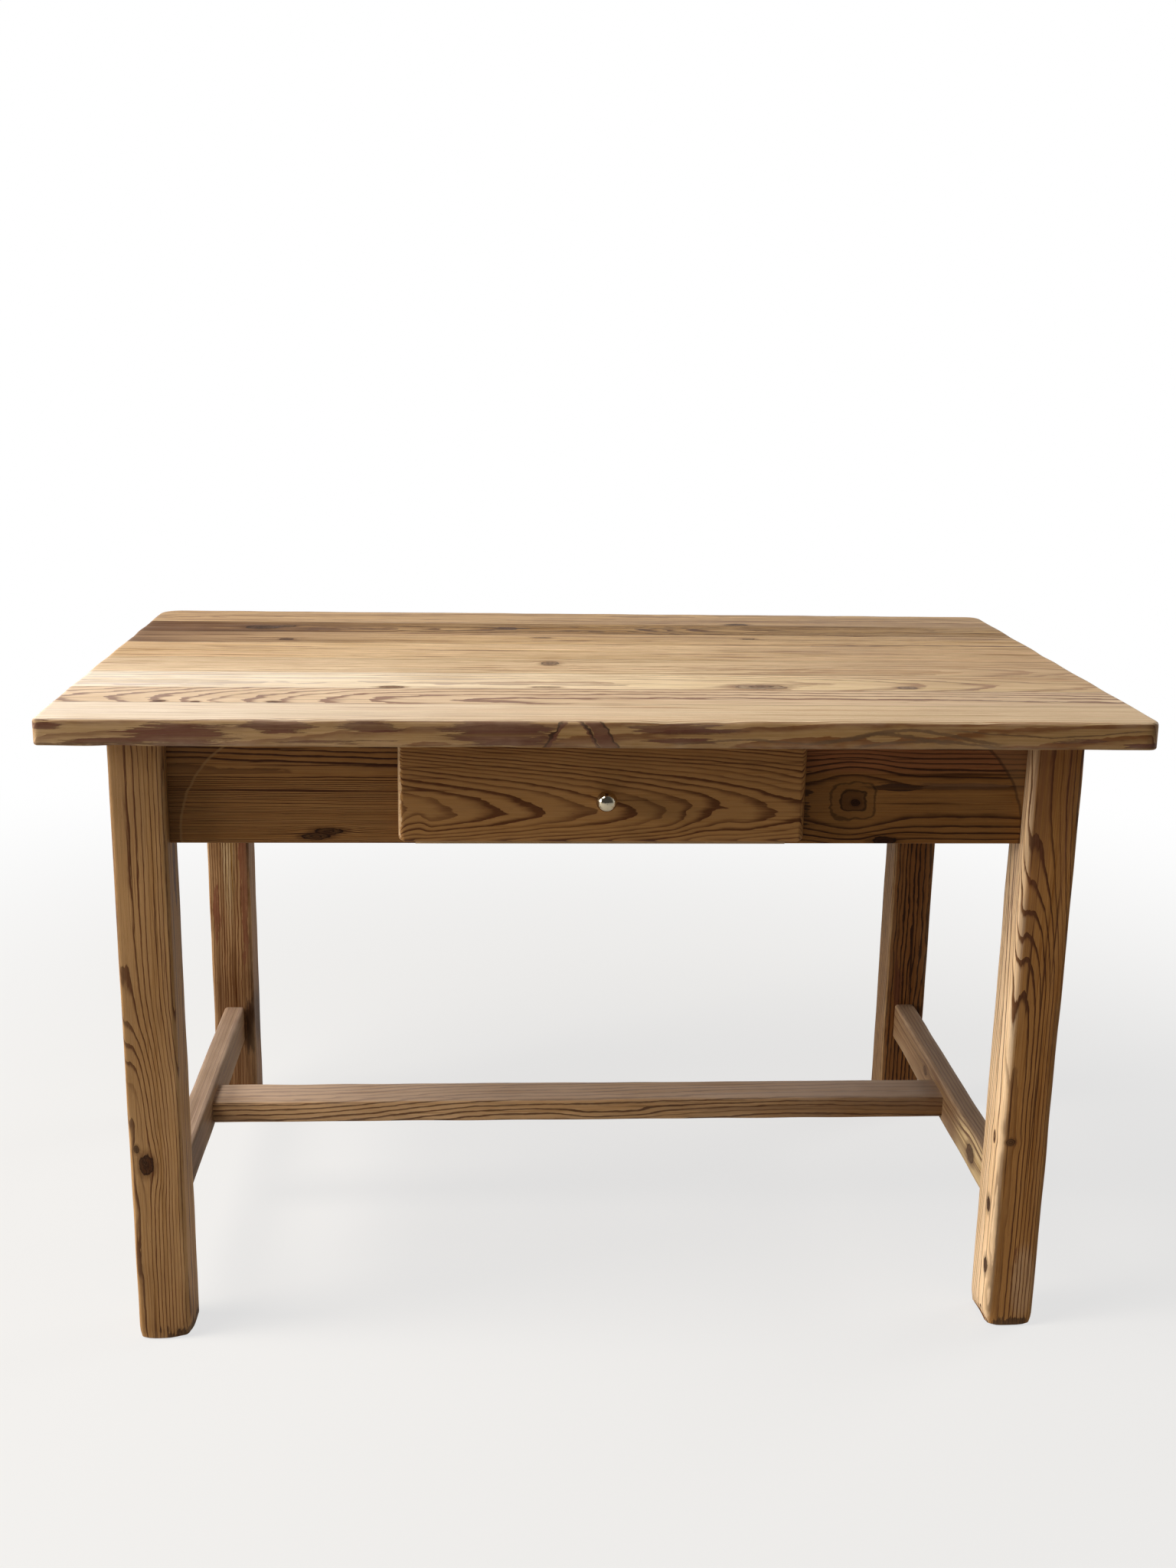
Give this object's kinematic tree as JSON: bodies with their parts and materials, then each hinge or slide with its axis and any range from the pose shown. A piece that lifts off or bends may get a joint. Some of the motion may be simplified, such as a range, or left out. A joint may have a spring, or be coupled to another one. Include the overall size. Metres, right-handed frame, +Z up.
{
  "type": "tavern table",
  "caption": "Rectangular pine table with square legs, H-shaped stretchers and a shallow drawer with a ball knob under a thick overhanging top.",
  "frame": {"origin": "on the floor, under the middle of the top", "axes": "+X along the table to the right of someone who faces the drawer, +Y from the drawer's side to the back, +Z up"},
  "size_m": [1.2, 0.72, 0.76],
  "materials": {
    "top_wood": "waxed, worn satin",
    "frame_wood": "stained and waxed satin",
    "drawer_wood": "plain planed",
    "knob_metal": "polished pale brass",
    "steel": "plain zinc-plated"
  },
  "bodies": {
    "table_frame": {"back_apron": "frame_wood", "button_screws": "steel", "drawer_bottom_rail": "drawer_wood", "drawer_guide_left": "drawer_wood", "drawer_guide_right": "drawer_wood", "drawer_kicker_left": "drawer_wood", "drawer_kicker_right": "drawer_wood", "drawer_runner_left": "drawer_wood", "drawer_runner_right": "drawer_wood", "drawer_top_rail": "drawer_wood", "end_apron_left": "frame_wood", "end_apron_right": "frame_wood", "front_apron_left": "frame_wood", "front_apron_right": "frame_wood", "leg_back_left": "frame_wood", "leg_back_right": "frame_wood", "leg_front_left": "frame_wood", "leg_front_right": "frame_wood", "long_stretcher": "frame_wood", "side_stretcher_left": "frame_wood", "side_stretcher_right": "frame_wood", "top_board_1": "top_wood", "top_board_2": "top_wood", "top_board_3": "top_wood", "top_board_4": "top_wood", "top_board_5": "top_wood", "top_board_6": "top_wood", "top_board_7": "top_wood", "top_board_8": "top_wood", "top_buttons": "drawer_wood"},
    "drawer": {"bottom_nails": "steel", "drawer_back": "drawer_wood", "drawer_bottom": "drawer_wood", "drawer_front": "frame_wood", "drawer_knob": "knob_metal", "drawer_side_left": "drawer_wood", "drawer_side_right": "drawer_wood", "knob_screw": "steel", "knob_washer": "steel"}
  },
  "joints": [
    {"name": "drawer_slide", "type": "slide", "parent": "table_frame", "child": "drawer", "axis": [0, -1, 0], "range_m": [0, 0.36]}
  ]
}
